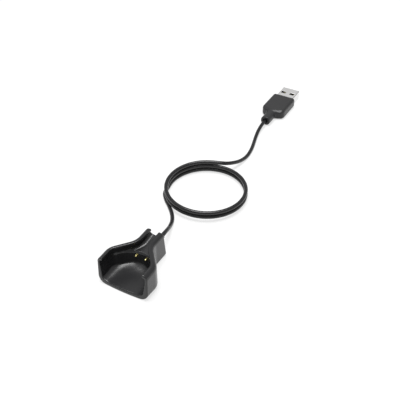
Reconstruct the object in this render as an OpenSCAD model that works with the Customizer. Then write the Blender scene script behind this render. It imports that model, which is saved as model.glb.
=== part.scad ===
// USB charging cradle for a clip-in fitness tracker: a bell-shaped scoop with two sprung contacts,
// a thin cord that lies in a loose coil, and a USB-A plug.
// The cradle stands on z = 0 and its open front faces -Y. The cord leaves its rear face along +Y.

/* [Cradle] */
// Width of the cup, outside
cup_w = 29.2; // [27:0.1:34]
// Width of the neck, outside
neck_w = 10.6; // [10.2:0.1:12]
// Length of the cradle along Y
body_l = 34; // [32:0.5:38]
// Height of the cradle up to its lips
body_h = 16.2; // [15.8:0.1:19]
// Thickness of the cup wall
wall = 1.65; // [1.4:0.05:1.9]
// Thickness of the pocket floor
floor_t = 2.1; // [1.8:0.1:3]
// Radius at which the cup wall curls inward into its lip
rim_r = 3; // [2.4:0.1:3.2]
// Radius of the lip's outer edge along the neck
rim_r_neck = 2.2; // [1.9:0.1:2.4]
// Straight length of the neck side before the rear face
neck_side_l = 8.8; // [8:0.1:9.6]
// Radius of the shoulder in plan
shoulder_r = 8; // [7:0.5:9]
// Radius of the hollow between shoulder and neck in plan
hollow_r = 9; // [7:0.5:10]
// Slant of the shoulder in plan, in degrees
shoulder_a = 40; // [37:1:43]
// Radius of the lower edge at the open front
foot_r_front = 4.5; // [4:0.25:5]
// Radius of the lower edge along the neck
foot_r_neck = 0.9; // [0.6:0.1:1]
// How far the middle of the open front stands ahead of its corners
front_bow = 0.8; // [0.4:0.1:1.2]
// How far the open front leans back at the top
front_rake = 0.9; // [0.3:0.1:1.5]
// How far the rear face leans forward at the top
rear_rake = 1.9; // [1:0.1:3]

/* [Pocket] */
// Length of the neck from the pocket's back wall to the rear end
neck_l = 14.9; // [14.4:0.1:16]
// Radius of the pocket's back wall in plan
pocket_back_r = 13; // [12:0.5:14]
// Radius between the pocket's floor and its walls
pocket_r = 2.5; // [2:0.1:3]
// Height of the ledge at the top of the back wall
ledge_z = 10.6; // [10.5:0.1:11.2]
// Rise of the strap channel behind the ledge, in degrees
channel_a = 8; // [7:0.5:10]
// Thickness of the back wall that the contacts pass through
back_wall = 1.5; // [1.2:0.1:1.8]
// Thickness of the neck walls round the wiring space
neck_wall = 1.2; // [1:0.05:1.3]
// Thickness of the roof between wiring space and strap channel
roof_t = 1.1; // [0.9:0.1:1.3]
// Thickness of the rear wall that holds the strain relief
rear_wall = 1.5; // [1.2:0.1:2]
// Thickness of the cover under the wiring space
cover_t = 1.4; // [1:0.1:1.8]

/* [Contacts] */
// Distance between the two contacts
pin_spacing = 5.9; // [5:0.1:6]
// Height of the contacts
pin_z = 8.4; // [7.8:0.1:8.4]
// Length of plunger that stands out of the barrel at rest
pin_out = 1.6; // [1.5:0.1:2.2]
// Travel of a plunger
pin_travel = 1.4; // [1:0.1:1.5]
// Diameter of a plunger's tip
tip_d = 1.1; // [0.9:0.05:1.2]
// Diameter of a plunger's shoulder, inside the barrel
shoulder_d = 1.3; // [1.24:0.02:1.4]
// Length of a plunger's shoulder
shoulder_l = 1.2; // [0.8:0.1:1.4]
// Thickness of a barrel's wall
barrel_wall = 0.2; // [0.15:0.01:0.22]
// Length of a barrel without its tail
barrel_l = 5.6; // [5.2:0.1:5.8]
// Diameter of a barrel's solder tail
tail_d = 0.6; // [0.4:0.05:0.8]
// Length of the carrier block along the contacts
block_l = 1.9; // [1.5:0.1:2.2]
// Depth of the carrier block below the contacts
block_drop = 1.5; // [1.3:0.1:1.8]
// Wire diameter of a contact spring
spring_wire = 0.14; // [0.1:0.01:0.16]
// Number of curls in a contact spring
spring_curls = 5; // [4:1:5]
// Thickness of the contact board
board_t = 0.8; // [0.6:0.1:1]

/* [Cord] */
// Diameter of the cord
cord_d = 2.3; // [1.9:0.1:2.5]
// Diameter of each insulated core
core_d = 0.8; // [0.6:0.05:0.9]
// Height at which the cord leaves the cradle
exit_z = 7.5; // [6.5:0.1:8]
// Diameter of the strain relief where it passes the rear wall
relief_d = 4; // [3.6:0.1:4.4]
// Diameter of the strain relief at its outer end
relief_tip_d = 3.2; // [3:0.1:3.6]
// Diameter of the flange that holds the strain relief inside
relief_flange_d = 5.4; // [5:0.1:6]
// Thickness of that flange
relief_flange_t = 1.2; // [0.8:0.1:1.6]
// Length of strain relief outside the rear face
relief_out = 4.8; // [4:0.1:6]
// Diameter of the coil at the middle of the cord
coil_d = 46; // [40:1:50]
// Rise of the coil for each turn
coil_pitch = 2.7; // [2.6:0.05:3.1]

/* [Plug] */
// Width of the plug's grip
grip_w = 16; // [15.4:0.1:18]
// Thickness of the plug's grip
grip_t = 6.9; // [6.6:0.1:8.4]
// Length of the plug's grip without its neck
grip_l = 22; // [21:0.5:26]
// Width of the plug's neck
plug_neck_w = 6.3; // [5.8:0.1:7]
// Thickness of the plug's neck
plug_neck_t = 6; // [5.6:0.1:6.2]
// Length of the plug's neck
plug_neck_l = 9.7; // [9:0.1:11]
// Width of the metal shell
shell_w = 12; // [12:0.1:12.1]
// Thickness of the metal shell over both walls
shell_h = 4.5; // [4.5:0.05:4.6]
// Sheet thickness of the metal shell
shell_t = 0.35; // [0.3:0.05:0.4]
// Length of shell that stands out of the grip
shell_out = 11.75; // [11.5:0.05:12.4]
// Length of shell inside the grip
shell_in = 6.8; // [6:0.1:7.4]
// Thickness of the contact tongue
tongue_h = 1.84; // [1.8:0.02:1.9]
// Width of a plug contact
contact_w = 1; // [0.8:0.05:1.1]
// Thickness of a plug contact
contact_t = 0.2; // [0.15:0.01:0.25]

/* [Hidden] */
// Gap between pieces that are seated in each other
seat_gap = 0.05;
// Gap between pieces that slide in each other
slide_gap = 0.05;
// How far a cutting shape passes the face that it opens
over = 1;
// Number of straight steps in a quarter round of the moulded shapes
arc_n = 6;
$fn = 48;

black = [0.10, 0.10, 0.11];
soft_black = [0.14, 0.14, 0.15];
gold = [0.83, 0.68, 0.35];
steel = [0.78, 0.78, 0.80];

// Places along Y
front_y = -body_l / 2;
rear_y = body_l / 2;
back_wall_y = rear_y - neck_l;
space_front_y = back_wall_y + back_wall;
rear_face_y = rear_y - rear_rake * exit_z / body_h;
space_rear_y = rear_y - rear_rake - rear_wall;

// The bell in plan: for each station on the +X side, from front to rear, its x, y, outward normal and lean
neck_x = neck_w / 2;
slant_l = (cup_w / 2 - neck_x - (shoulder_r + hollow_r) * (1 - cos(shoulder_a))) / sin(shoulder_a);
neck_y = rear_y - neck_side_l;
shoulder_y = neck_y - (shoulder_r + hollow_r) * sin(shoulder_a) - slant_l * cos(shoulder_a);
function bell(front, rear) = concat(
    [[cup_w / 8, front, 0, 0, front_rake], [cup_w / 4, front + front_bow / 9, 0, 0, front_rake],
        [cup_w / 2, front + front_bow, 1, 0, front_rake], [cup_w / 2, (front + shoulder_y) / 2, 1, 0, 0]],
    [for (k = [0 : arc_n]) let (a = shoulder_a * k / arc_n)
        [cup_w / 2 - shoulder_r * (1 - cos(a)), shoulder_y + shoulder_r * sin(a), cos(a), sin(a), 0]],
    [for (k = [0 : arc_n]) let (a = shoulder_a * (1 - k / arc_n))
        [neck_x + hollow_r * (1 - cos(a)), neck_y - hollow_r * sin(a), cos(a), sin(a), 0]],
    [[neck_x, rear, 1, 0, -rear_rake]]);

// A size that changes evenly from the front to the neck: the lower edge and the lip tighten that way
function along(y, at_front, at_neck) = let (t = min(max((y - front_y) / (neck_y - front_y), 0), 1))
    at_front + (at_neck - at_front) * t;

// One closed ring of a moulded shape: each station is moved in by its inset, raised, and leaned as it rises
function ring(stations, insets, heights) = let (
    n = len(stations),
    side = [for (i = [0 : n - 1]) let (s = stations[i])
        [s[0] - insets[i] * s[2], s[1] - insets[i] * s[3] + s[4] * heights[i] / body_h, heights[i]]])
    concat(side, [for (i = [n - 1 : -1 : 0]) [-side[i][0], side[i][1], side[i][2]]]);

// Solid through a stack of rings, each counterclockwise from above and the same on both sides of X = 0
module loft(rings) {
    n = len(rings[0]);
    top = (len(rings) - 1) * n;
    half = [0 : n / 2 - 2];
    polyhedron(
        [for (r = rings) each r],
        concat(
            [for (i = half) [i, i + 1, n - 2 - i, n - 1 - i]],
            [for (i = half) [top + n - 1 - i, top + n - 2 - i, top + i + 1, top + i]],
            [for (k = [0 : len(rings) - 2]) for (i = [0 : n - 1]) let (j = (i + 1) % n)
                each [[k * n + i, (k + 1) * n + i, (k + 1) * n + j],
                    [k * n + i, (k + 1) * n + j, k * n + j]]]),
        convexity = 8);
}

// Angles of the steps in a quarter round
quarter = [for (k = [0 : arc_n]) 90 * k / arc_n];

// Outer form of the cradle, without its hollows
module outer_form() {
    stations = bell(front_y, rear_y);
    feet = [for (s = stations) along(s[1], foot_r_front, foot_r_neck)];
    rims = [for (s = stations) along(s[1], rim_r, rim_r_neck)];
    loft(concat(
        [for (a = quarter) ring(stations,
            [for (r = feet) r * (1 - sin(a))],
            [for (r = feet) r * (1 - cos(a))])],
        [for (a = quarter) ring(stations,
            [for (r = rims) r * (1 - cos(a))],
            [for (r = rims) body_h - r * (1 - sin(a))])]));
}

// Height of the strap channel's floor at a place along Y
function channel_z(y) = ledge_z + (y - back_wall_y) * tan(channel_a);

// Hollow under the lips, open above, in front and behind
module hollow_form() {
    stations = bell(front_y - over, rear_y + over);
    rims = [for (s = stations) rim_r];
    loft(concat(
        [for (a = quarter) ring(stations,
            [for (r = rims) wall + pocket_r * (1 - sin(a))],
            [for (r = rims) floor_t + pocket_r * (1 - cos(a))])],
        [for (a = quarter) ring(stations,
            [for (r = rims) wall + (r - wall) * (1 - cos(a))],
            [for (r = rims) body_h - r + (r - wall) * sin(a)])],
        [ring(stations, rims, [for (r = rims) body_h + over])]));
}

// A prism across the whole width from an outline in the YZ plane
module across(outline) {
    rotate([90, 0, 90]) linear_extrude(cup_w + 4 * over, center = true) polygon(outline);
}

// Flat outline of the bell, moved in by an inset, between two places along Y
module bell_plan(inset, from_y, to_y) {
    s = bell(front_y, rear_y + over);
    intersection() {
        polygon([for (p = ring(s, [for (p = s) inset], [for (p = s) 0])) [p[0], p[1]]]);
        translate([-cup_w, from_y]) square([2 * cup_w, to_y - from_y]);
    }
}

// Space in front of the round back wall, with the radius at its floor
module back_wall_round(tall) {
    low_r = pocket_back_r - pocket_r;
    rotate_extrude() polygon(concat(
        [[0, tall], [0, floor_t - over], [low_r, floor_t - over]],
        [for (a = quarter) [low_r + pocket_r * sin(a), floor_t + pocket_r * (1 - cos(a))]],
        [[pocket_back_r, tall]]));
}

// Space for the tracker: the pocket with its round back wall, and the strap channel above the ledge
module tracker_space() {
    centre_y = back_wall_y - pocket_back_r;
    side_y = centre_y + pocket_back_r * cos(45);
    tall = body_h + 2 * over;
    intersection() {
        hollow_form();
        union() {
            translate([-cup_w, front_y - 2 * over, 0]) cube([2 * cup_w, side_y - front_y + 2 * over, tall]);
            translate([0, centre_y, 0]) back_wall_round(tall);
            across([[side_y, ledge_z], [back_wall_y, ledge_z], [rear_y + over, channel_z(rear_y + over)],
                [rear_y + over, tall], [side_y, tall]]);
        }
    }
}

// Space for the wiring in the neck, open below
module wiring_space() {
    intersection() {
        translate([0, 0, -over]) linear_extrude(body_h) bell_plan(neck_wall, space_front_y, space_rear_y);
        across([[space_front_y, -over], [space_front_y, channel_z(space_front_y) - roof_t],
            [space_rear_y, channel_z(space_rear_y) - roof_t], [space_rear_y, -over]]);
    }
}

// Slot in the rear wall: round above, where the strain relief sits, and open below
module relief_slot(gap) {
    d = relief_d + 2 * gap;
    l = rear_wall + rear_rake + 2 * over;
    translate([0, space_rear_y - over, exit_z]) along_y(d, l);
    translate([-d / 2, space_rear_y - over, -over]) cube([d, l, exit_z + over]);
}

// Cylinder along +Y
module along_y(d, h) {
    rotate([-90, 0, 0]) cylinder(d = d, h = h);
}

// The moulded scoop: bell-shaped cup with lips that curl inward, pocket, strap channel and neck
barrel_d = shoulder_d + 2 * slide_gap + 2 * barrel_wall;
barrel_proud = 0.3;
barrel_y = back_wall_y - barrel_proud;
module cradle_body() {
    color(black) difference() {
        outer_form();
        tracker_space();
        wiring_space();
        relief_slot(seat_gap);
        for (side = [-1, 1])
            translate([side * pin_spacing / 2, back_wall_y - pocket_back_r / 2, pin_z])
                along_y(barrel_d + 2 * seat_gap, pocket_back_r / 2 + back_wall + over);
    }
}

// Cover that closes the wiring space from below, with a tongue that fills the slot under the strain relief
module base_cover() {
    gap = seat_gap;
    color(black) intersection() {
        outer_form();
        difference() {
            union() {
                linear_extrude(cover_t)
                    bell_plan(neck_wall + gap, space_front_y + gap, space_rear_y - gap);
                translate([-relief_d / 2, space_rear_y, 0])
                    cube([relief_d, rear_wall + rear_rake + over, exit_z]);
                translate([-relief_d / 2, space_rear_y - over, 0]) cube([relief_d, 2 * over, cover_t]);
            }
            translate([0, space_rear_y - over, exit_z]) along_y(relief_d + 2 * gap, body_l);
        }
    }
}

// Height of the wiring space's roof at a place along Y, less a seating gap
function roof_z(y) = channel_z(y) - roof_t - seat_gap;

// Insulating block that carries both contact barrels behind the back wall
module pin_block() {
    block_z = pin_z - block_drop;
    block_y = space_front_y + seat_gap;
    color(soft_black) difference() {
        translate([0, 0, block_z]) linear_extrude(roof_z(space_front_y) - block_z)
            bell_plan(neck_wall + seat_gap, block_y, block_y + block_l);
        for (side = [-1, 1])
            translate([side * pin_spacing / 2, space_front_y - over, pin_z])
                along_y(barrel_d + 2 * seat_gap, block_l + 2 * over);
    }
}

// Places along Y inside a barrel: its front lip, the shoulder behind it and the spring's two ends
lip_t = 0.4;
tail_out = 0.3;
shoulder_front_y = barrel_y + lip_t + slide_gap;
spring_front_y = shoulder_front_y + shoulder_l + slide_gap;
spring_rear_y = barrel_y + barrel_l - lip_t - slide_gap;
board_y = barrel_y + barrel_l;

// Turned barrel with a crimped front lip, a closed rear end and a solder tail
module pin_barrel(side) {
    color(gold) translate([side * pin_spacing / 2, barrel_y, pin_z]) {
        difference() {
            along_y(barrel_d, barrel_l);
            translate([0, lip_t, 0]) along_y(shoulder_d + 2 * slide_gap, barrel_l - 2 * lip_t);
            translate([0, -over, 0]) along_y(tip_d + 2 * slide_gap, lip_t + 2 * over);
        }
        translate([0, barrel_l - lip_t / 2, 0]) along_y(tail_d, lip_t / 2 + board_t + tail_out);
    }
}
module pin_barrel_left() { pin_barrel(-1); }
module pin_barrel_right() { pin_barrel(1); }

// Plunger with a round tip and a shoulder that the barrel's lip holds back
module pin_plunger(side) {
    tip_r = tip_d / 2;
    color(gold) translate([side * pin_spacing / 2, barrel_y, pin_z]) rotate([-90, 0, 0]) {
        translate([0, 0, tip_r - pin_out]) {
            sphere(d = tip_d);
            cylinder(d = tip_d, h = pin_out - tip_r + lip_t + slide_gap + shoulder_l / 2);
        }
        translate([0, 0, lip_t + slide_gap]) cylinder(d = shoulder_d, h = shoulder_l);
    }
}
module pin_plunger_left() { pin_plunger(-1); }
module pin_plunger_right() { pin_plunger(1); }

// Unit vector and cross-section ring of a tube, for a point and the direction of the tube there
function unit(v) = v / norm(v);
function tube_ring(p, dir, r, sides) = let (
    t = unit(dir),
    right = unit(cross(t, [0, 0, 1])),
    up = cross(right, t))
    [for (k = [0 : sides - 1]) let (a = 360 * k / sides) p + r * (cos(a) * up + sin(a) * right)];
function run_dir(pts, i) = let (n = len(pts))
    i == 0 ? pts[1] - pts[0]
    : i == n - 1 ? pts[n - 1] - pts[n - 2]
    : unit(pts[i + 1] - pts[i]) + unit(pts[i] - pts[i - 1]);

// Round tube along a list of points; a direction may be given for either end
module tube(pts, d, sides, from_dir = undef, to_dir = undef) {
    n = sides;
    last = len(pts) - 1;
    dirs = [for (i = [0 : last]) i == 0 && from_dir != undef ? from_dir
        : i == last && to_dir != undef ? to_dir : run_dir(pts, i)];
    polyhedron(
        [for (i = [0 : last]) each tube_ring(pts[i], dirs[i], d / 2, sides)],
        concat(
            [for (k = [1 : n - 2]) [0, k, k + 1]],
            [for (k = [1 : n - 2]) [last * n, last * n + k + 1, last * n + k]],
            [for (i = [0 : last - 1]) for (k = [0 : n - 1]) let (m = (k + 1) % n)
                each [[i * n + k, (i + 1) * n + k, (i + 1) * n + m],
                    [i * n + k, (i + 1) * n + m, i * n + m]]]),
        convexity = 10);
}

// Coil spring behind a plunger's shoulder
module pin_spring(side) {
    wire_room = spring_wire / 2;
    mean_r = shoulder_d / 2 - spring_wire;
    rise = spring_rear_y - spring_front_y - 2 * wire_room;
    rings = 8 * spring_curls;
    line = [for (k = [0 : rings]) let (a = 360 * spring_curls * k / rings)
        [mean_r * cos(a), mean_r * sin(a), rise * k / rings]];
    color(steel) translate([side * pin_spacing / 2, spring_front_y + wire_room, pin_z]) rotate([-90, 0, 0])
        tube(line, spring_wire, 6);
}
module pin_spring_left() { pin_spring(-1); }
module pin_spring_right() { pin_spring(1); }

// Board that the barrels' tails are soldered through; it stands on the cover, under the roof
board_w = neck_w - 2 * neck_wall - 6 * seat_gap;
board_z = cover_t + seat_gap;
board_h = roof_z(board_y) - board_z;
module contact_board() {
    color("darkgreen") difference() {
        translate([-board_w / 2, board_y, board_z]) cube([board_w, board_t, board_h]);
        for (side = [-1, 1])
            translate([side * pin_spacing / 2, board_y - over, pin_z])
                along_y(tail_d + 2 * seat_gap, board_t + 2 * over);
    }
}

// Strain relief moulded on the cord: a flange inside the rear wall and a tapered collar outside
relief_nub_l = 1;
relief_inner_y = space_rear_y - relief_flange_t - relief_nub_l;
relief_tip_y = rear_face_y + relief_out;
module strain_relief() {
    root_r = relief_d / 2;
    tip_r = relief_tip_d / 2;
    flange_r = relief_flange_d / 2;
    bore_r = cord_d / 2 + seat_gap;
    nub_r = bore_r + 0.5;
    root_l = 0.8;
    tip_bevel = 0.4;
    flange_from = relief_nub_l - seat_gap;
    flange_to = flange_from + relief_flange_t;
    face = rear_face_y - relief_inner_y;
    tip = relief_tip_y - relief_inner_y;
    color(soft_black) translate([0, relief_inner_y, exit_z]) rotate([-90, 0, 0]) rotate_extrude()
        polygon([[bore_r, 0], [nub_r, 0], [nub_r, flange_from], [flange_r, flange_from],
            [flange_r, flange_to], [root_r, flange_to], [root_r, face + root_l],
            [tip_r, tip - tip_bevel], [(tip_r + bore_r) / 2, tip], [bore_r, tip]]);
}

// The two cores that run from the end of the cord's jacket to the board, side by side at first
core_x = 0.58 * core_d;
module core(side) {
    start = [side * core_x, relief_inner_y - seat_gap, exit_z];
    pad_x = side * (pin_spacing / 2 - tail_d - core_d);
    pad_y = board_y + board_t + seat_gap;
    tube([start, start - [0, core_d, 0], [pad_x, pad_y + core_d, exit_z], [pad_x, pad_y, exit_z]], core_d, 8);
}
module supply_core() { color("firebrick") core(-1); }
module return_core() { color("dimgray") core(1); }

// Route of the cord from the cradle to its coil, at the middle of the cord, lying on the table
cord_r = cord_d / 2;
lead_route = [[0, relief_inner_y, exit_z], [0, relief_tip_y, exit_z], [0, relief_tip_y + 2, exit_z],
    [-0.6, 25.9, 6.6], [-1.6, 29.4, 5], [-2.8, 32.9, 3.3], [-4, 36.4, 2.1], [-5.2, 39.5, cord_r + 0.2],
    [-6.8, 42.5, cord_r], [-9.6, 46.2, cord_r], [-13.6, 50.2, cord_r], [-18.9, 55.1, cord_r],
    [-22.1, 59.6, cord_r]];

// Coil: a loose stack of turns, wound clockwise from above, with a straight diameter at each end
coil_centre = [-0.8, 70.3];
coil_start = 195;
coil_turns = 2.24;
loop_rings = 24;
coil_r = coil_d / 2;
coil_rings = ceil(loop_rings * coil_turns);
function coil_dir(a) = [sin(a), -cos(a), 0];
function coil_point(t) = let (a = coil_start - 360 * coil_turns * t)
    [coil_centre[0] + coil_r * cos(a), coil_centre[1] + coil_r * sin(a),
        cord_r + coil_pitch * coil_turns * t];
coil_end = coil_start - 360 * coil_turns;
coil_route = concat(
    [coil_point(0) - cord_d * coil_dir(coil_start)],
    [for (k = [0 : coil_rings]) coil_point(k / coil_rings)],
    [coil_point(1) + cord_d * coil_dir(coil_end)]);

// Least gap between turns, measured between points at least half a turn apart along the coil
coil_last = len(coil_route) - 1;
coil_gap = min([for (i = [0 : coil_last]) for (j = [i + loop_rings / 2 : 1 : coil_last])
    norm(coil_route[i] - coil_route[j])]) - cord_d;
echo(coil_gap = coil_gap);

// Place of the plug: it lies flat, parallel to the cradle, with the end of its neck at this point
plug_x = -2.6;
plug_y = 154.4;
plug_z = grip_t / 2;

// Route of the cord from its coil into the plug's neck
mould_set_in = 2;
mould_rear = plug_neck_l + mould_set_in;
coil_out = coil_route[coil_last];
tail_route = [[-3.6, 94.2, 6.9], [-0.9, 96.9, 5.9], [1.2, 100.9, 4.6], [2.5, 105.5, 3.1], [3.2, 110.5, 1.9],
    [3.4, 115.4, cord_r + 0.1], [3, 120.4, cord_r], [2, 125.9, cord_r], [0.7, 130.9, cord_r],
    [-0.5, 135.4, 1.4], [-1.6, 140.2, 1.9], [-2.1, 143.6, 2.5], [-2.5, 148.6, 3.2],
    [plug_x, plug_y, plug_z], [plug_x, plug_y + mould_rear - seat_gap, plug_z]];

// The three stretches meet face to face
coil_in_dir = run_dir(coil_route, 0);
coil_out_dir = run_dir(coil_route, coil_last);
module cord_lead() {
    color(black) tube(concat(lead_route, [coil_route[0]]), cord_d, 8, to_dir = coil_in_dir);
}
module cord_coil() {
    color(black) tube(coil_route, cord_d, 6);
}
module cord_tail() {
    color(black) tube(concat([coil_out], tail_route), cord_d, 8, from_dir = coil_out_dir);
}

// Everything on the plug is drawn with the end of its neck at the origin and its tip towards +Y
module at_plug() { translate([plug_x, plug_y, plug_z]) children(); }

// One ring of the grip: a rectangle with round corners, across Y
function grip_ring(y, w, t, r) = [for (c = [[1, 1], [1, -1], [-1, -1], [-1, 1]], k = [0 : 4])
    let (q = c[0] * c[1] > 0 ? 4 - k : k, a = 22.5 * q)
    [c[0] * (w / 2 - r + r * cos(a)), y, c[1] * (t / 2 - r + r * sin(a))]];

// Grip moulded over the plug: flat body with round ends, and a round neck
neck_end_l = plug_neck_l + grip_l;
inner_w = 10.6;
inner_t = 4;
module grip_form() {
    nw = plug_neck_w;
    nt = plug_neck_t;
    bevel = 0.4;
    corner_r = 2;
    neck_r = min(nw, nt) / 2 - 0.3;
    rear_r = 4.5;
    front_r = 2.3;
    front_t = 1.2;
    front_a = 70;
    front_l = front_r * sin(front_a);
    loft(concat(
        [grip_ring(0, nw - 2 * bevel, nt - 2 * bevel, neck_r - bevel), grip_ring(bevel, nw, nt, neck_r),
            grip_ring(plug_neck_l - over, nw, nt, neck_r)],
        [for (a = quarter) grip_ring(plug_neck_l + rear_r * (1 - cos(a)),
            grip_w - 2 * rear_r * (1 - sin(a)), nt + (grip_t - nt) * sin(a), corner_r)],
        [for (k = [0 : arc_n / 2]) let (a = 2 * front_a * k / arc_n)
            grip_ring(neck_end_l - front_l + front_r * sin(a),
                grip_w - 2 * front_r * (1 - cos(a)), grip_t - 2 * front_t * (1 - cos(a)), corner_r)]));
}

// A box between two corners, grown on all sides by a gap
module box(low, high, gap) {
    grow = [gap, gap, gap];
    translate(low - grow) cube(high - low + 2 * grow);
}

// The cord enters through a recess that lets it bend, and the scoops are cut by balls above and below
shell_y = neck_end_l - shell_in;
shell_tip_y = neck_end_l + shell_out;
module plug_grip() {
    recess_d = 4.4;
    recess_l = 3;
    scoop_r = 7;
    scoop_depth = 1.3;
    scoop_x = grip_w / 2 - 1.6;
    scoop_y = plug_neck_l - 1.5;
    scoop_z = grip_t / 2 - scoop_depth + scoop_r;
    color(soft_black) at_plug() difference() {
        grip_form();
        translate([0, -over, 0]) along_y(cord_d + 2 * seat_gap, mould_rear + 2 * over);
        box([-inner_w / 2, mould_rear, -inner_t / 2], [inner_w / 2, shell_y, inner_t / 2], seat_gap);
        box([-shell_w / 2, shell_y, -shell_h / 2], [shell_w / 2, neck_end_l + over, shell_h / 2], seat_gap);
        translate([0, -over, 0]) along_y(recess_d, recess_l + over);
        for (up = [0, 1], side = [-1, 1]) mirror([0, 0, up])
            translate([side * scoop_x, scoop_y, scoop_z]) sphere(r = scoop_r);
    }
}

// Middle of each plug contact, across and in height, and the tongue that carries them
function contact_x(k) = [-3.5, -1, 1, 3.5][k];
tongue_w = shell_w - 2 * shell_t - 2 * seat_gap;
tongue_z = -shell_h / 2 + shell_t + seat_gap;
contact_z = tongue_z + tongue_h - contact_t / 2;

// Where a contact strip lies between two places along Y, grown by a gap
module contact_strip(k, from_y, to_y, gap) {
    box([contact_x(k) - contact_w / 2, from_y, contact_z - contact_t / 2],
        [contact_x(k) + contact_w / 2, to_y, contact_z + contact_t / 2], gap);
}

// Hard inner mould that holds the cores and the contact tails behind the shell
inner_l = shell_y - mould_rear - seat_gap;
contact_tail_l = 3;
core_run = inner_l - contact_tail_l;
core_slope = atan((contact_x(3) - core_x) / core_run);
core_l = core_run / cos(core_slope);
module core_line(side, d, from, to) {
    translate([side * core_x, mould_rear, contact_z]) rotate([0, 0, -side * core_slope])
        translate([0, from, 0]) along_y(d, to - from);
}
module plug_inner_mould() {
    color("silver") at_plug() difference() {
        translate([-inner_w / 2, mould_rear, -inner_t / 2]) cube([inner_w, inner_l, inner_t]);
        for (side = [-1, 1]) core_line(side, core_d + 2 * seat_gap, -over, core_l);
        for (k = [0 : 3]) contact_strip(k, mould_rear + core_run, shell_y + over, seat_gap);
    }
}

// Drawn metal shell with two pairs of latch windows
module plug_shell() {
    win_w = 2.8;
    win_l = 2.2;
    win_x = 3.1;
    win_y = shell_tip_y - 7.6;
    color(steel) at_plug() difference() {
        box([-shell_w / 2, shell_y, -shell_h / 2], [shell_w / 2, shell_tip_y, shell_h / 2], 0);
        box([-shell_w / 2 + shell_t, shell_y - over, -shell_h / 2 + shell_t],
            [shell_w / 2 - shell_t, shell_tip_y + over, shell_h / 2 - shell_t], 0);
        for (side = [-1, 1])
            translate([side * win_x - win_w / 2, win_y, -shell_h]) cube([win_w, win_l, 2 * shell_h]);
    }
}

// Insulating tongue on the lower wall of the shell, with a block that closes the shell's rear end
module plug_tongue() {
    tip_gap = 0.9;
    strip_gap = 1.6;
    block_l = shell_in - 1;
    block_h = shell_h - 2 * shell_t - 2 * seat_gap;
    color("black") at_plug() difference() {
        translate([-tongue_w / 2, shell_y, tongue_z]) {
            cube([tongue_w, shell_tip_y - tip_gap - shell_y, tongue_h]);
            cube([tongue_w, block_l, block_h]);
        }
        for (k = [0 : 3]) contact_strip(k, shell_y - over, shell_tip_y - strip_gap, seat_gap);
    }
}

// Contact strips let into the tongue; the middle two end further back
module plug_contact(k) {
    set_back = k == 0 || k == 3 ? 2.6 : 3.6;
    color(gold) at_plug() contact_strip(k, mould_rear + core_run + seat_gap, shell_tip_y - set_back, 0);
}
module plug_contact_1() { plug_contact(0); }
module plug_contact_2() { plug_contact(1); }
module plug_contact_3() { plug_contact(2); }
module plug_contact_4() { plug_contact(3); }

// Cores from the cord's end to the outer two contacts
core_end_gap = 0.5;
module plug_supply_core() { color("firebrick") at_plug() core_line(-1, core_d, 0, core_l - core_end_gap); }
module plug_return_core() { color("dimgray") at_plug() core_line(1, core_d, 0, core_l - core_end_gap); }

cradle_body();
base_cover();
pin_block();
pin_barrel_left();
pin_barrel_right();
pin_plunger_left();
pin_plunger_right();
pin_spring_left();
pin_spring_right();
contact_board();
supply_core();
return_core();
strain_relief();
cord_lead();
cord_coil();
cord_tail();
plug_grip();
plug_inner_mould();
plug_shell();
plug_tongue();
plug_contact_1();
plug_contact_2();
plug_contact_3();
plug_contact_4();
plug_supply_core();
plug_return_core();
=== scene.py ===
import math

import bpy
import numpy as np
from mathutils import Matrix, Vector


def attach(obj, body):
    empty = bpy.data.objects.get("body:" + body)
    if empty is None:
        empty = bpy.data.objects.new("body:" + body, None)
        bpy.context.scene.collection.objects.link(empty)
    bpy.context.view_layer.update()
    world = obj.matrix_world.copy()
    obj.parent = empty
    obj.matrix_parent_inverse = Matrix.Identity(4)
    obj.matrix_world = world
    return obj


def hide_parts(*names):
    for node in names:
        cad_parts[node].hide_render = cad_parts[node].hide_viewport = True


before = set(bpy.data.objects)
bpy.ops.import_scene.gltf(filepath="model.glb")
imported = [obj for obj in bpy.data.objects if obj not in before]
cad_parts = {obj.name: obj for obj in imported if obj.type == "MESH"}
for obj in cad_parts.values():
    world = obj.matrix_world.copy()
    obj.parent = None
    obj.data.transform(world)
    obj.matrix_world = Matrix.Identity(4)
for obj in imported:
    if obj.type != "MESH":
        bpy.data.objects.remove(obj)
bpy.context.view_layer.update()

scene = bpy.context.scene
scene.view_settings.view_transform = "Standard"


# Camera: a view from the front right and above, about a third of a metre from the cup, so that the
# whole cord and the plug behind it are seen.
line_of_sight = Vector((-0.3797, 0.6745, -0.6331))
eye = bpy.data.objects.new("camera", bpy.data.cameras.new("camera"))
eye.location = (0.1470, -0.1993, 0.2478)
eye.rotation_euler = line_of_sight.to_track_quat("-Z", "Y").to_euler()
eye.data.sensor_width = 36
eye.data.lens = 61.06
eye.data.clip_start = 0.01
scene.collection.objects.link(eye)
scene.camera = eye


# Cradle body: one injection moulding in satin black plastic. A bell-shaped cup, whose wall curls
# inward into a lip, narrows to a neck; the tracker lies in its pocket and the strap in its channel.
mm = 0.001
cup_x, neck_x = 14.6, 5.3
front_y, rear_y = -17, 17
height, wall, lip_w, floor_z = 16.2, 1.65, 3, 2.1
front_bow, front_rake, rear_rake = 0.8, 0.9 / height, 1.9 / height
slope = math.radians(40)
shoulder_r, hollow_r = 8, 9
shoulder_y, neck_y = -9.07, 8.2
foot_r_front, foot_r_neck, rim_r_neck = 4.5, 1.5, 2.2
front_edge_r, rear_edge_r, inner_edge_r, cut_edge_r = 0.45, 0.9, 0.45, 0.12

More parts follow.
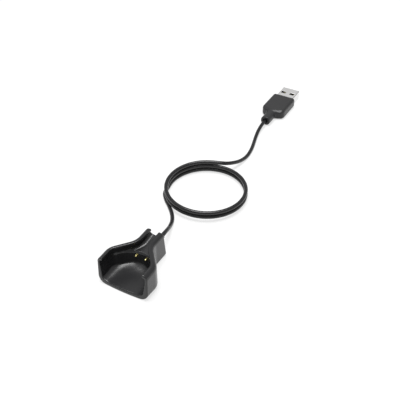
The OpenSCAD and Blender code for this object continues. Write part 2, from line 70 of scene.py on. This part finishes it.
back_y, back_r, draft = 2.1, 13, 0.13
flare, flare_y, side_blend = 0.25, -1, 1
dish_h, dish_power, dish_flat, dish_cosine, crease_r = 2.3, 2.5, 0.45, 0.9, 0.3
ledge_z, ledge_edge_r, lip_edge_r = 10.6, 0.9, 0.4
channel_slope, channel_y, channel_r_front, channel_r_neck = math.radians(8), 0.5, 1, 2.9

contact_x, contact_z = 2.95, 8.4
bore_r, bore_from, bore_to = 0.95, -4, 4.6
roof_t, neck_wall = 1.1, 1.2
space_front_y, space_rear_y = 3.6, 13.6
exit_z, relief_r, slot_reach = 7.5, 2, 1


def round_and(a, b, r):
    """Common part of two forms, each given as depth below its surface, with edges of radius r."""
    return np.maximum(r, np.minimum(a, b)) - np.hypot(np.maximum(r - a, 0), np.maximum(r - b, 0))


def round_or(a, b, r):
    """Two forms joined, with a fillet of radius r between them."""
    return -round_and(-a, -b, r)


def soft_and(a, b, width):
    """Common part of two forms, blended where their depths come within this width of each other."""
    return np.minimum(a, b) - np.maximum(width - np.abs(a - b), 0) ** 2 / (4 * width)


def between(place, low, high):
    """Depth inside a slab."""
    return np.minimum(place - low, high - place)


def bell_depth(x, y):
    """How far a point lies inside the bell-shaped outline seen from above."""
    x = np.abs(x)
    nx, ny = math.cos(slope), math.sin(slope)
    sx, sy = x - (cup_x - shoulder_r), y - shoulder_y
    hx, hy = x - (neck_x + hollow_r), y - neck_y
    return np.select(
        [y <= shoulder_y,
         sy * nx <= sx * ny,
         hy * nx <= hx * ny,
         y <= neck_y],
        [cup_x - x,
         shoulder_r - np.hypot(sx, sy),
         shoulder_r - sx * nx - sy * ny,
         np.hypot(hx, hy) - hollow_r],
        neck_x - x)


def tightening(y, at_front, at_neck, from_y=front_y):
    """A radius that changes evenly on the way back to the neck."""
    return np.interp(y, [from_y, neck_y], [at_front, at_neck])


def channel_floor(y):
    return ledge_z + np.maximum(y - back_y, 0) * math.tan(channel_slope)


def cradle_outside(x, y, z):
    form = round_and(bell_depth(x, y), z, tightening(y, foot_r_front, foot_r_neck))
    form = round_and(form, height - z, tightening(y, lip_w, rim_r_neck))
    form = round_and(form, y - front_y - front_bow * (x / cup_x) ** 2 - front_rake * z, front_edge_r)
    return round_and(form, (rear_y - rear_rake * z - y) / math.hypot(1, rear_rake), rear_edge_r)


def dish_lift(x, y):
    """How far the pocket's floor rises towards its back and sides."""
    across = np.abs(x) / (cup_x - wall)
    along = np.maximum(y - front_y, 0) / (back_y - front_y)
    outward = (across ** dish_power + along ** dish_power) ** (1 / dish_power)
    return dish_h * np.clip((outward - dish_flat) / (1 - dish_flat), 0, 1) ** 3


def tracker_space(x, y, z):
    edge = bell_depth(x, y)
    back = back_r - np.hypot(x, y - back_y + back_r) + flare * np.maximum(flare_y - y, 0) ** 2
    plan = soft_and(edge - wall, back, side_blend)
    plan = plan - draft * np.clip(ledge_z - z, 0, ledge_z - floor_z)
    pocket = round_and(plan, dish_cosine * (z - floor_z - dish_lift(x, y)), crease_r)
    channel = round_and(edge - wall, (z - channel_floor(y)) * math.cos(channel_slope),
                        tightening(y, channel_r_front, channel_r_neck, channel_y))
    under_lip = round_and(round_or(pocket, channel, ledge_edge_r), height - wall - z, lip_w - wall)
    mouth = np.minimum(edge - lip_w, z - height + lip_w)
    return round_or(under_lip, mouth, lip_edge_r)


def cradle_depth(x, y, z):
    form = round_and(cradle_outside(x, y, z), -tracker_space(x, y, z), inner_edge_r)
    bore = bore_r - np.hypot(np.abs(x) - contact_x, z - contact_z)
    bore = np.minimum(bore, between(y, bore_from, bore_to))
    wiring = np.minimum(bell_depth(x, y) - neck_wall, between(y, space_front_y, space_rear_y))
    wiring = np.minimum(wiring, channel_floor(y) - roof_t - z)
    slot = np.maximum(relief_r - np.hypot(x, z - exit_z), np.minimum(relief_r - np.abs(x), exit_z - z))
    slot = np.minimum(slot, y - space_rear_y + slot_reach)
    return round_and(round_and(np.minimum(form, -wiring), -slot, cut_edge_r), -bore, cut_edge_r)


grid_margin, probe, least_slope, longest_move = 1.37, 0.02, 0.2, 0.6
relax_rounds, edge_reach, edge_gain = 3, 0.3, 0.4


def net(depth, low, high, step):
    """One point for each grid cell that a moulding's surface crosses, and the quads that join them."""
    low = np.array(low) - grid_margin * step
    counts = [math.ceil((end - start) / step) + 3 for start, end in zip(low, high)]
    axes = [start + step * np.arange(count) for start, count in zip(low, counts)]
    field = depth(*np.meshgrid(*axes, indexing="ij"))
    solid = field > 0
    cells = tuple(count - 1 for count in counts)
    place, crossings, crossed = np.zeros(cells + (3,)), np.zeros(cells), []
    for k in range(3):
        near = tuple(slice(0, -1) if axis == k else slice(None) for axis in range(3))
        far = tuple(slice(1, None) if axis == k else slice(None) for axis in range(3))
        cut = solid[near] != solid[far]
        along = np.where(cut, field[near] / np.where(cut, field[near] - field[far], 1), 0)
        crossed.append((cut, solid[near]))
        u, v = (k + 1) % 3, (k + 2) % 3
        for du, dv in ((0, 0), (0, 1), (1, 0), (1, 1)):
            shift = [0, 0, 0]
            shift[u], shift[v] = du, dv
            window = tuple(slice(start, start + count) for start, count in zip(shift, cells))
            place[..., k] += along[window]
            place[..., u] += du * cut[window]
            place[..., v] += dv * cut[window]
            crossings += cut[window]
    active = crossings > 0
    index = np.full(cells, -1)
    index[active] = np.arange(active.sum())
    points = low + step * (np.argwhere(active) + place[active] / crossings[active][:, None])
    quads = []
    for k, (cut, lower_solid) in enumerate(crossed):
        around = np.zeros((4, 3), int)
        around[[1, 2], (k + 1) % 3] = -1
        around[[2, 3], (k + 2) % 3] = -1
        quad = np.stack([index[tuple((np.argwhere(cut) + corner).T)] for corner in around], 1)
        quads.append(np.where(lower_solid[cut][:, None], quad, quad[:, ::-1]))
    return points, np.concatenate(quads)


def settled(points, depth, step):
    """The points moved twice along the slope of the depth, towards the surface."""
    for _ in range(2):
        lean = [depth(*(points + d).T) - depth(*(points - d).T) for d in np.eye(3) * probe]
        lean = np.stack(lean, 1) / (2 * probe)
        steep = np.maximum((lean ** 2).sum(1), least_slope)
        move = np.clip(depth(*points.T) / steep, -longest_move * step, longest_move * step)
        points = points - move[:, None] * lean
    return points


def moulded(name, depth, low, high, step):
    """Closed mesh of a moulding from its depth below the surface, with corners in mm."""
    points, quads = net(depth, low, high, step)
    ends = np.concatenate([quads, np.roll(quads, 1, 1)]).ravel()
    others = np.concatenate([np.roll(quads, 1, 1), quads]).ravel()
    links = np.bincount(ends, minlength=len(points))[:, None]
    points = settled(points, depth, step)
    for _ in range(relax_rounds):
        mean = np.stack([np.bincount(ends, points[others, k], len(points)) for k in range(3)], 1) / links
        points = settled((points + mean) / 2, depth, step)
    around = sum(depth(*(points + d).T) + depth(*(points - d).T) for d in np.eye(3) * edge_reach)
    bend = (6 * depth(*points.T) - around) / edge_reach ** 2
    sharp = np.clip(edge_gain * bend, 0, 1).astype(np.float32)

    mesh = bpy.data.meshes.new(name)
    mesh.from_pydata((points * mm).tolist(), [], quads.tolist())
    mesh.shade_smooth()
    mesh.attributes.new("edge", "FLOAT", "POINT").data.foreach_set("value", sharp)
    piece = bpy.data.objects.new(name, mesh)
    scene.collection.objects.link(piece)
    return piece


class Signal:
    """An output of a finish's nodes. Sums and products of signals add Math nodes."""

    def __init__(self, tree, socket=None):
        self.tree = tree
        self.socket = socket

    def node(self, kind, settings=None, sockets=None, output=0):
        """Adds a node of any kind: its settings first, then the values or links of its sockets."""
        made = self.tree.nodes.new("ShaderNode" + kind)
        for name, value in (settings or {}).items():
            setattr(made, name, value)
        for name, value in (sockets or {}).items():
            self.feed(made.inputs[name], value)
        return Signal(self.tree, made.outputs[output])

    def feed(self, socket, value):
        if isinstance(value, Signal):
            self.tree.links.new(value.socket, socket)
        else:
            socket.default_value = value

    def maths(self, operation, a, b):
        return self.node("Math", {"operation": operation}, {0: a, 1: b})

    def __add__(self, other):
        return self.maths("ADD", self, other)

    def __sub__(self, other):
        return self.maths("SUBTRACT", self, other)

    def __rsub__(self, other):
        return self.maths("SUBTRACT", other, self)

    def __mul__(self, other):
        return self.maths("MULTIPLY", self, other)

    __radd__, __rmul__ = __add__, __mul__


class Finish(Signal):
    """A material made round one shader, whose own sockets hold what is the same all over it."""

    def __init__(self, name, **same):
        self.material = bpy.data.materials.new(name)
        self.material.use_nodes = True
        super().__init__(self.material.node_tree)
        self.shader = self.tree.nodes["Principled BSDF"]
        for socket, value in same.items():
            self.shader.inputs[socket.replace("_", " ")].default_value = value
        self.spot = self.node("TexCoord", output="Object")

    def grain(self, size_mm, stretch=None):
        """Noise from 0 to 1 with spots of about this size."""
        spot = self.spot
        if stretch:
            spot = self.node("VectorMath", {"operation": "MULTIPLY"}, {0: spot, 1: stretch})
        return self.node("TexNoise", None, {"Vector": spot, "Scale": 0.5 / (size_mm * mm), "Detail": 3.0})

    def blend(self, mask, a, b):
        """Colour a where the mask is 0 and b where it is 1."""
        return self.node("Mix", {"data_type": "RGBA"}, {"Factor": mask, 6: a, 7: b}, 2)

    def bump(self, relief, depth_mm, strength):
        return self.node("Bump", None, {"Height": relief, "Distance": depth_mm * mm, "Strength": strength})

    def wear(self, colour, roughness, normal):
        """Feeds the shader what changes over the surface."""
        for socket, value in (("Base Color", colour), ("Roughness", roughness), ("Normal", normal)):
            self.feed(self.shader.inputs[socket], value)


cradle_plastic = Finish("cradle_plastic", Specular_IOR_Level=0.5)
polish = cradle_plastic.node("Attribute", {"attribute_name": "edge"}, output="Fac")
cloud = cradle_plastic.grain(6)
speck = cradle_plastic.grain(0.22)
cradle_plastic.wear(
    cradle_plastic.blend(cloud, (0.017, 0.017, 0.018, 1), (0.022, 0.022, 0.023, 1)),
    0.19 + 0.06 * cloud + 0.05 * speck - 0.04 * polish,
    cradle_plastic.bump(speck, 0.006, 0.5))

cradle_step = 0.22
cradle = moulded("cradle", cradle_depth, (-cup_x, front_y, 0), (cup_x, rear_y, height), cradle_step)
cradle.data.materials.append(cradle_plastic.material)
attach(cradle, "cradle")
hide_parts("cradle_body")


# Base cover: a thin moulding in the same plastic, pressed in from below to close the neck's wiring
# space. A tongue at its rear fills the slot under the strain relief.
cover_x, cover_t, cover_gap, cover_corner_r, cover_step = 9, 1.4, 0.05, 0.4, 0.2


def cover_depth(x, y, z):
    plan = round_and(bell_depth(x, y) - neck_wall - cover_gap,
                     between(y, space_front_y, space_rear_y) - cover_gap, cover_corner_r)
    plate = np.minimum(plan, cover_t - z)
    in_slot = relief_r - cover_gap - np.abs(x)
    tongue = np.minimum(np.minimum(in_slot, y - space_rear_y), exit_z - z)
    link = np.minimum(np.minimum(in_slot, cover_t - z), slot_reach - np.abs(y - space_rear_y))
    form = np.maximum(np.maximum(plate, tongue), link)
    form = np.minimum(form, np.hypot(x, z - exit_z) - relief_r - cover_gap)
    return round_and(cradle_outside(x, y, z), form, cut_edge_r)


cover = moulded("cover", cover_depth, (-cover_x, space_front_y, 0), (cover_x, rear_y, exit_z), cover_step)
cover.data.materials.append(cradle_plastic.material)
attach(cover, "cradle")
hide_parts("base_cover")


# Contacts: two turned brass barrels and plungers, gold plated. The barrels are pressed through the
# back wall into a carrier block, and the plungers slide in them on steel springs.
barrel_y, barrel_l, barrel_r, barrel_bore, barrel_lip = 1.8, 5.6, 0.9, 0.7, 0.6
end_t, tail_r, tail_l = 0.4, 0.3, 1.1
plunger_out, plunger_r, flange_r, flange_from, flange_to = 1.6, 0.55, 0.65, 0.45, 1.65
barrel_easing, pin_easing = 0.14, 0.08
corner_share, corner_steps = 0.45, 4


def turned(name, outline, x, z, sides=40):
    """A part turned about a line along Y through x, z from (radius, y) points, all in mm."""
    turns = np.linspace(0, 2 * math.pi, sides, endpoint=False)
    points = [((x + r * math.sin(a)) * mm, y * mm, (z + r * math.cos(a)) * mm)
              for r, y in outline for a in turns]
    faces = []
    for i in range(len(outline) - 1):
        for k in range(sides):
            m = (k + 1) % sides
            faces.append((i * sides + k, i * sides + m, (i + 1) * sides + m, (i + 1) * sides + k))
    mesh = bpy.data.meshes.new(name)
    mesh.from_pydata(points, [], faces)
    mesh.validate()
    mesh.shade_smooth()
    piece = bpy.data.objects.new(name, mesh)
    scene.collection.objects.link(piece)
    piece.modifiers.new("weld", "WELD").merge_threshold = 1e-6
    piece.modifiers.new("flats", "WEIGHTED_NORMAL").keep_sharp = True
    return piece


def eased(points, r, closed=True):
    """The same outline with each corner rounded, from at most r on either side of it."""
    out = []
    count = len(points)
    for i, here in enumerate(points):
        if not closed and i in (0, count - 1):
            out.append(here)
            continue
        here = np.array(here, float)
        to_before = np.array(points[i - 1], float) - here
        to_after = np.array(points[(i + 1) % count], float) - here
        reach = min(r, corner_share * np.linalg.norm(to_before), corner_share * np.linalg.norm(to_after))
        a = here + to_before / np.linalg.norm(to_before) * reach
        b = here + to_after / np.linalg.norm(to_after) * reach
        for t in np.linspace(0, 1, corner_steps + 1):
            out.append(tuple((1 - t) ** 2 * a + 2 * t * (1 - t) * here + t ** 2 * b))
    if closed:
        out.append(out[0])
    return out


gold_plate = Finish("gold_plate", Metallic=1.0)
tarnish = gold_plate.grain(0.5)
lathe_line = gold_plate.grain(0.12, stretch=(0.15, 1, 0.15))
gold_plate.wear(
    gold_plate.blend(tarnish, (0.90, 0.82, 0.42, 1), (0.82, 0.72, 0.32, 1)),
    0.16 + 0.1 * tarnish + 0.06 * lathe_line,
    gold_plate.bump(lathe_line, 0.003, 0.4))

barrel_end = barrel_y + barrel_l
dome_y = barrel_y - plunger_out
barrel_outline = eased([
    (barrel_lip, barrel_y + end_t), (barrel_lip, barrel_y), (barrel_r, barrel_y), (barrel_r, barrel_end),
    (tail_r, barrel_end), (tail_r, barrel_end - end_t), (barrel_bore, barrel_end - end_t),
    (barrel_bore, barrel_y + end_t)], barrel_easing)
tail_outline = eased([
    (0, barrel_end - end_t), (tail_r, barrel_end - end_t), (tail_r, barrel_end + tail_l),
    (0, barrel_end + tail_l)], pin_easing, closed=False)
dome = [(plunger_r * math.sin(a), dome_y + plunger_r * (1 - math.cos(a)))
        for a in np.linspace(0, math.pi / 2, 12)]
stem = eased([
    (plunger_r, dome_y + plunger_r), (plunger_r, barrel_y + flange_from),
    (flange_r, barrel_y + flange_from), (flange_r, barrel_y + flange_to),
    (0, barrel_y + flange_to)], pin_easing, closed=False)

for side, hand in ((-1, "left"), (1, "right")):
    barrel = turned(f"contact_barrel_{hand}", barrel_outline, side * contact_x, contact_z)
    solder_tail = turned(f"contact_tail_{hand}", tail_outline, side * contact_x, contact_z)
    plunger = turned(f"contact_plunger_{hand}", dome + stem[1:], side * contact_x, contact_z)
    for piece in (barrel, solder_tail, plunger):
        piece.data.materials.append(gold_plate.material)
    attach(barrel, "cradle")
    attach(solder_tail, "cradle")
    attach(plunger, f"{hand}_contact")
    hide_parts(f"pin_barrel_{hand}")
    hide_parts(f"pin_plunger_{hand}")


def dressed(node, finish):
    """A solid that is shown with the shape it has, in its finish."""
    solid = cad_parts[node]
    solid.data.materials.clear()
    solid.data.materials.append(finish.material)
    return solid


spring_steel = Finish("spring_steel", Metallic=1.0)
drawn = spring_steel.grain(0.1)
spring_steel.wear(
    spring_steel.blend(drawn, (0.55, 0.54, 0.52, 1), (0.66, 0.65, 0.63, 1)),
    0.25 + 0.12 * drawn,
    spring_steel.bump(drawn, 0.002, 0.3))
dressed("pin_spring_left", spring_steel)
dressed("pin_spring_right", spring_steel)


# Inside the neck: a black nylon block that carries the contacts, a fibreglass board that they are
# soldered to, and the two vinyl-covered cores that come from the cord. The plug has two cores as well.
inner_plastic = Finish("inner_plastic")
fleck = inner_plastic.grain(0.4)
inner_plastic.wear(
    inner_plastic.blend(fleck, (0.02, 0.02, 0.021, 1), (0.035, 0.035, 0.036, 1)),
    0.45 + 0.15 * fleck,
    inner_plastic.bump(fleck, 0.01, 0.4))
dressed("pin_block", inner_plastic)

board = Finish("board")
weave = board.grain(0.3, stretch=(1, 1, 0.2)) * board.grain(0.3, stretch=(0.2, 1, 1))
board.wear(
    board.blend(weave, (0.012, 0.09, 0.035, 1), (0.03, 0.17, 0.07, 1)),
    0.3 + 0.2 * weave,
    board.bump(weave, 0.01, 0.4))
dressed("contact_board", board)


def core_vinyl(name, dark, light):
    vinyl = Finish(name)
    streak = vinyl.grain(0.3, stretch=(1, 0.2, 1))
    vinyl.wear(vinyl.blend(streak, dark, light), 0.4 + 0.12 * streak, vinyl.bump(streak, 0.006, 0.4))
    return vinyl


core_red = core_vinyl("core_red", (0.32, 0.02, 0.02, 1), (0.48, 0.04, 0.03, 1))
core_black = core_vinyl("core_black", (0.018, 0.018, 0.02, 1), (0.03, 0.03, 0.032, 1))
for end in ("", "plug_"):
    dressed(f"{end}supply_core", core_red)
    dressed(f"{end}return_core", core_black)


# Strain relief: a tapered collar of soft black vinyl moulded on the cord. Its flange sits inside the
# neck's rear wall, so that a pull on the cord doesn't reach the board.
relief_inner_y, taper_y, relief_tip_y = 11.4, 16.92, 20.92
relief_root_r, relief_tip_r, cord_bore = 1.7, 1.75, 1.17
collar_r, collar_from, collar_to = 2.7, 12.35, 13.55
relief_gap, relief_easing, relief_sides = 0.02, 0.4, 56

soft_vinyl = Finish("soft_vinyl", Specular_IOR_Level=0.35)
skin_grain = soft_vinyl.grain(0.16)
patch = soft_vinyl.grain(5)
soft_vinyl.wear(
    soft_vinyl.blend(patch, (0.026, 0.026, 0.027, 1), (0.033, 0.033, 0.034, 1)),
    0.26 + 0.08 * patch + 0.08 * skin_grain,
    soft_vinyl.bump(skin_grain, 0.01, 0.5))

relief_outline = eased([
    (cord_bore, relief_inner_y), (relief_root_r, relief_inner_y), (relief_root_r, collar_from),
    (collar_r, collar_from), (collar_r, collar_to), (relief_r - relief_gap, collar_to),
    (relief_r - relief_gap, taper_y), (relief_tip_r, relief_tip_y),
    (cord_bore, relief_tip_y)], relief_easing)
relief = turned("strain_relief_collar", relief_outline, 0, exit_z, relief_sides)
relief.data.materials.append(soft_vinyl.material)
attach(relief, "cradle")
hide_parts("strain_relief")


# Plug shell: a sleeve folded from thin steel strip and nickel plated, with painted shade, a near-black
# colour, on its inside faces, and two pairs of latch windows. It stands in the grip and carries the
# tongue.
plug_x, plug_y, plug_z = -2.6, 154.4, 3.45
shell_x, shell_z, shell_t, bend_r = 6, 2.25, 0.35, 0.55
shell_from, shell_to, shell_edge_r, shell_step = 24.9, 43.45, 0.14, 0.14
latch_x, latch_w, latch_from, latch_to = 3.1, 3.1, 35.7, 38.2
latch_corner_r, latch_edge_r = 0.2, 0.06
shade_depth_share = 0.3


def shell_depth(x, y, z):
    x, y, z = x - plug_x, y - plug_y, z - plug_z
    outside = round_and(shell_x - np.abs(x), shell_z - np.abs(z), bend_r)
    inside = round_and(shell_x - shell_t - np.abs(x), shell_z - shell_t - np.abs(z), bend_r - shell_t)
    sleeve = round_and(np.minimum(outside, -inside), between(y, shell_from, shell_to), shell_edge_r)
    latch = round_and(latch_w / 2 - np.abs(np.abs(x) - latch_x), between(y, latch_from, latch_to),
                      latch_corner_r)
    latch = np.minimum(latch, np.abs(z) - shell_z + 2 * shell_t)
    return round_and(sleeve, -latch, latch_edge_r)


nickel_plate = Finish("nickel_plate", Metallic=1.0)
brushing = nickel_plate.grain(0.1, stretch=(1, 0.04, 1))
smear = nickel_plate.grain(3)
# Painted shade: faces inside the sleeve get a near-black base colour that stands in for the shadow within
# it.
painted_shade_inside = nickel_plate.node("Attribute", {"attribute_name": "inside"}, output="Fac")
plate = nickel_plate.blend(smear, (0.84, 0.835, 0.83, 1), (0.91, 0.905, 0.90, 1))
nickel_plate.wear(
    nickel_plate.blend(painted_shade_inside, plate, (0.03, 0.03, 0.03, 1)),
    0.4 + 0.06 * smear + 0.1 * brushing,
    nickel_plate.bump(brushing, 0.003, 0.4))

shell = moulded("shell", shell_depth, (plug_x - shell_x, plug_y + shell_from, plug_z - shell_z),
                (plug_x + shell_x, plug_y + shell_to, plug_z + shell_z), shell_step)
# Marks the faces lying deeper than a share of the wall below the outside, where the painted shade goes.
inside = []
for point in shell.data.vertices:
    past_x = abs(point.co.x / mm - plug_x) - shell_x
    past_z = abs(point.co.z / mm - plug_z) - shell_z
    inside.append(float(max(past_x, past_z) < -shade_depth_share * shell_t))
shell.data.attributes.new("inside", "FLOAT", "POINT").data.foreach_set("value", inside)
shell.data.materials.append(nickel_plate.material)
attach(shell, "cradle")
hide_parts("plug_shell")


# Inside the plug: a dark tongue with four plated contact strips let into it, and the pale hard mould
# behind the shell that holds the ends of the cores.
inside_edge_r = 0.06
tongue_plastic = Finish("tongue_plastic")
pit = tongue_plastic.grain(0.3)
tongue_plastic.wear(
    tongue_plastic.blend(pit, (0.022, 0.022, 0.023, 1), (0.04, 0.04, 0.042, 1)),
    0.42 + 0.12 * pit,
    tongue_plastic.bump(pit, 0.006, 0.4))

inner_mould = Finish("inner_mould")
chalk = inner_mould.grain(0.6)
inner_mould.wear(
    inner_mould.blend(chalk, (0.5, 0.49, 0.46, 1), (0.62, 0.61, 0.58, 1)),
    0.5 + 0.1 * chalk,
    inner_mould.bump(chalk, 0.008, 0.4))

strips = [f"plug_contact_{k}" for k in (1, 2, 3, 4)]
insides = [dressed("plug_tongue", tongue_plastic), dressed("plug_inner_mould", inner_mould)]
for solid in insides + [dressed(strip, gold_plate) for strip in strips]:
    rounding = solid.modifiers.new("rounding", "BEVEL")
    rounding.width = inside_edge_r * mm
    rounding.segments = 2


# Plug grip: soft black vinyl moulded over the shell, with a scoop for a fingertip on each side of a
# middle ridge. The ridge runs on into a round neck, whose end is hollow so that the cord can bend.
grip_x, grip_z, grip_from, grip_to, grip_step = 8, 3.45, 9.7, 31.7, 0.24
grip_rear_r, grip_front_r, grip_edge_r = 4.5, 2, 2
neck_half_x, neck_half_z, neck_overlap = 3.15, 3, 4
neck_round_r, neck_end_r, neck_fillet_r = 2.7, 0.5, 1.5
recess_r, recess_l, recess_fillet_r, recess_edge_r = 1.6, 3, 0.4, 0.3
cord_hole_r, cord_hole_l = 1.2, 16
scoop_r, scoop_x, scoop_y, scoop_z, scoop_edge_r = 7, 6.4, 8.2, 9.15, 0.5


def grip_depth(x, y, z):
    x, y, z = x - plug_x, y - plug_y, z - plug_z
    across = np.hypot(x, z)
    x, z = np.abs(x), np.abs(z)
    plan = round_and(round_and(grip_x - x, y - grip_from, grip_rear_r), grip_to - y, grip_front_r)
    block = round_and(plan, grip_z - z, grip_edge_r)
    neck = round_and(neck_half_x - x, neck_half_z - z, neck_round_r)
    neck = round_and(neck, between(y, 0, grip_from + neck_overlap), neck_end_r)
    form = np.minimum(round_or(block, neck, neck_fillet_r), grip_z - z)
    scoop = scoop_r - np.sqrt((x - scoop_x) ** 2 + (y - scoop_y) ** 2 + (z - scoop_z) ** 2)
    form = round_and(form, -scoop, scoop_edge_r)
    recess = round_or(np.minimum(recess_r - across, recess_l - y),
                      np.minimum(cord_hole_r - across, cord_hole_l - y), recess_fillet_r)
    return round_and(form, -recess, recess_edge_r)


grip = moulded("grip", grip_depth, (plug_x - grip_x, plug_y, 0),
               (plug_x + grip_x, plug_y + grip_to, 2 * grip_z), grip_step)
grip.data.materials.append(soft_vinyl.material)
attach(grip, "cradle")
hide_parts("plug_grip")


# Cord: two cores in an extruded black vinyl jacket, 2.3 mm thick. It leaves the strain relief, drops to
# the table, lies in a loose coil of two and a quarter turns and rises into the plug's neck.
cord_r = 1.15
lead = [(0, 11.4, 7.5), (0, 20.92, 7.5), (0, 22.92, 7.5), (-0.6, 25.9, 6.6), (-1.6, 29.4, 5),
        (-2.8, 32.9, 3.3), (-4, 36.4, 2.1), (-5.2, 39.5, 1.35), (-6.8, 42.5, 1.15), (-9.6, 46.2, 1.15),
        (-13.6, 50.2, 1.15), (-18.9, 55.1, 1.15), (-22.1, 59.6, 1.15)]
tail = [(-3.6, 94.2, 6.9), (-0.9, 96.9, 5.9), (1.2, 100.9, 4.6), (2.5, 105.5, 3.1), (3.2, 110.5, 1.9),
        (3.4, 115.4, 1.25), (3, 120.4, 1.15), (2, 125.9, 1.15), (0.7, 130.9, 1.15), (-0.5, 135.4, 1.4),
        (-1.6, 140.2, 1.9), (-2.1, 143.6, 2.5), (-2.5, 148.6, 3.2), (-2.6, 154.4, 3.45),
        (-2.6, 166.05, 3.45)]
coil_x, coil_y, coil_r, coil_turns, coil_pitch = -0.8, 70.3, 23, 2.24, 2.7
coil_start = math.radians(195)
knots_per_turn = 24
coil_steps = math.ceil(knots_per_turn * coil_turns)


def coil_point(share):
    a = coil_start - 2 * math.pi * coil_turns * share
    rise = coil_pitch * coil_turns * share
    return (coil_x + coil_r * math.cos(a), coil_y + coil_r * math.sin(a), cord_r + rise)


route = lead + [coil_point(k / coil_steps) for k in range(coil_steps + 1)] + tail
line = bpy.data.curves.new("cord", "CURVE")
line.dimensions = "3D"
line.resolution_u = 10
line.bevel_depth = cord_r * mm
line.bevel_resolution = 6
line.use_fill_caps = True
spline = line.splines.new("BEZIER")
spline.bezier_points.add(len(route) - 1)
for knot, place in zip(spline.bezier_points, route):
    knot.co = Vector(place) * mm
    knot.handle_left_type = knot.handle_right_type = "AUTO"
cord = bpy.data.objects.new("cord", line)
scene.collection.objects.link(cord)

cord_jacket = Finish("cord_jacket")
draw_line = cord_jacket.grain(0.25)
dull = cord_jacket.grain(8)
cord_jacket.wear(
    cord_jacket.blend(dull, (0.008, 0.008, 0.009, 1), (0.012, 0.012, 0.013, 1)),
    0.24 + 0.08 * dull + 0.06 * draw_line,
    cord_jacket.bump(draw_line, 0.006, 0.4))
line.materials.append(cord_jacket.material)
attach(cord, "cradle")
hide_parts("cord_lead", "cord_coil", "cord_tail")


# Table and light: a plain white table that keeps a faint shadow, a soft overhead light and a dim,
# even room. The table glows white for the camera and in reflections, and lights nothing else by that.
table_half, table_glow = 3, 0.68
table_mesh = bpy.data.meshes.new("table")
corners = [(-table_half, -table_half, 0), (table_half, -table_half, 0),
           (table_half, table_half, 0), (-table_half, table_half, 0)]
table_mesh.from_pydata(corners, [], [(0, 1, 2, 3)])
table = bpy.data.objects.new("table", table_mesh)
scene.collection.objects.link(table)
white = Finish("table_white", Base_Color=(0.3, 0.3, 0.3, 1), Roughness=0.9)
seen = white.node("LightPath", output="Is Camera Ray") + white.node("LightPath", output="Is Glossy Ray")
seen = seen + white.node("LightPath", output="Is Transmission Ray")
glow = white.node("Emission", None, {"Color": (1, 1, 1, 1), "Strength": table_glow * seen})
both = white.node("AddShader", None, {0: Signal(white.tree, white.shader.outputs[0]), 1: glow})
white.feed(white.tree.nodes["Material Output"].inputs["Surface"], both)
table_mesh.materials.append(white.material)

room = bpy.data.worlds.new("room")
room.use_nodes = True
scene.world = room
room_light = room.node_tree.nodes["Background"].inputs
room_light["Color"].default_value = (1, 1, 1, 1)
room_light["Strength"].default_value = 0.42

lamp = bpy.data.lights.new("overhead", "AREA")
lamp.size = 0.45
lamp.energy = 6.2
lamp_target = Vector((0, 0.02, 0))
overhead = bpy.data.objects.new("overhead", lamp)
overhead.location = (-0.03, 0.06, 0.75)
overhead.rotation_euler = (lamp_target - overhead.location).to_track_quat("-Z", "Y").to_euler()
scene.collection.objects.link(overhead)
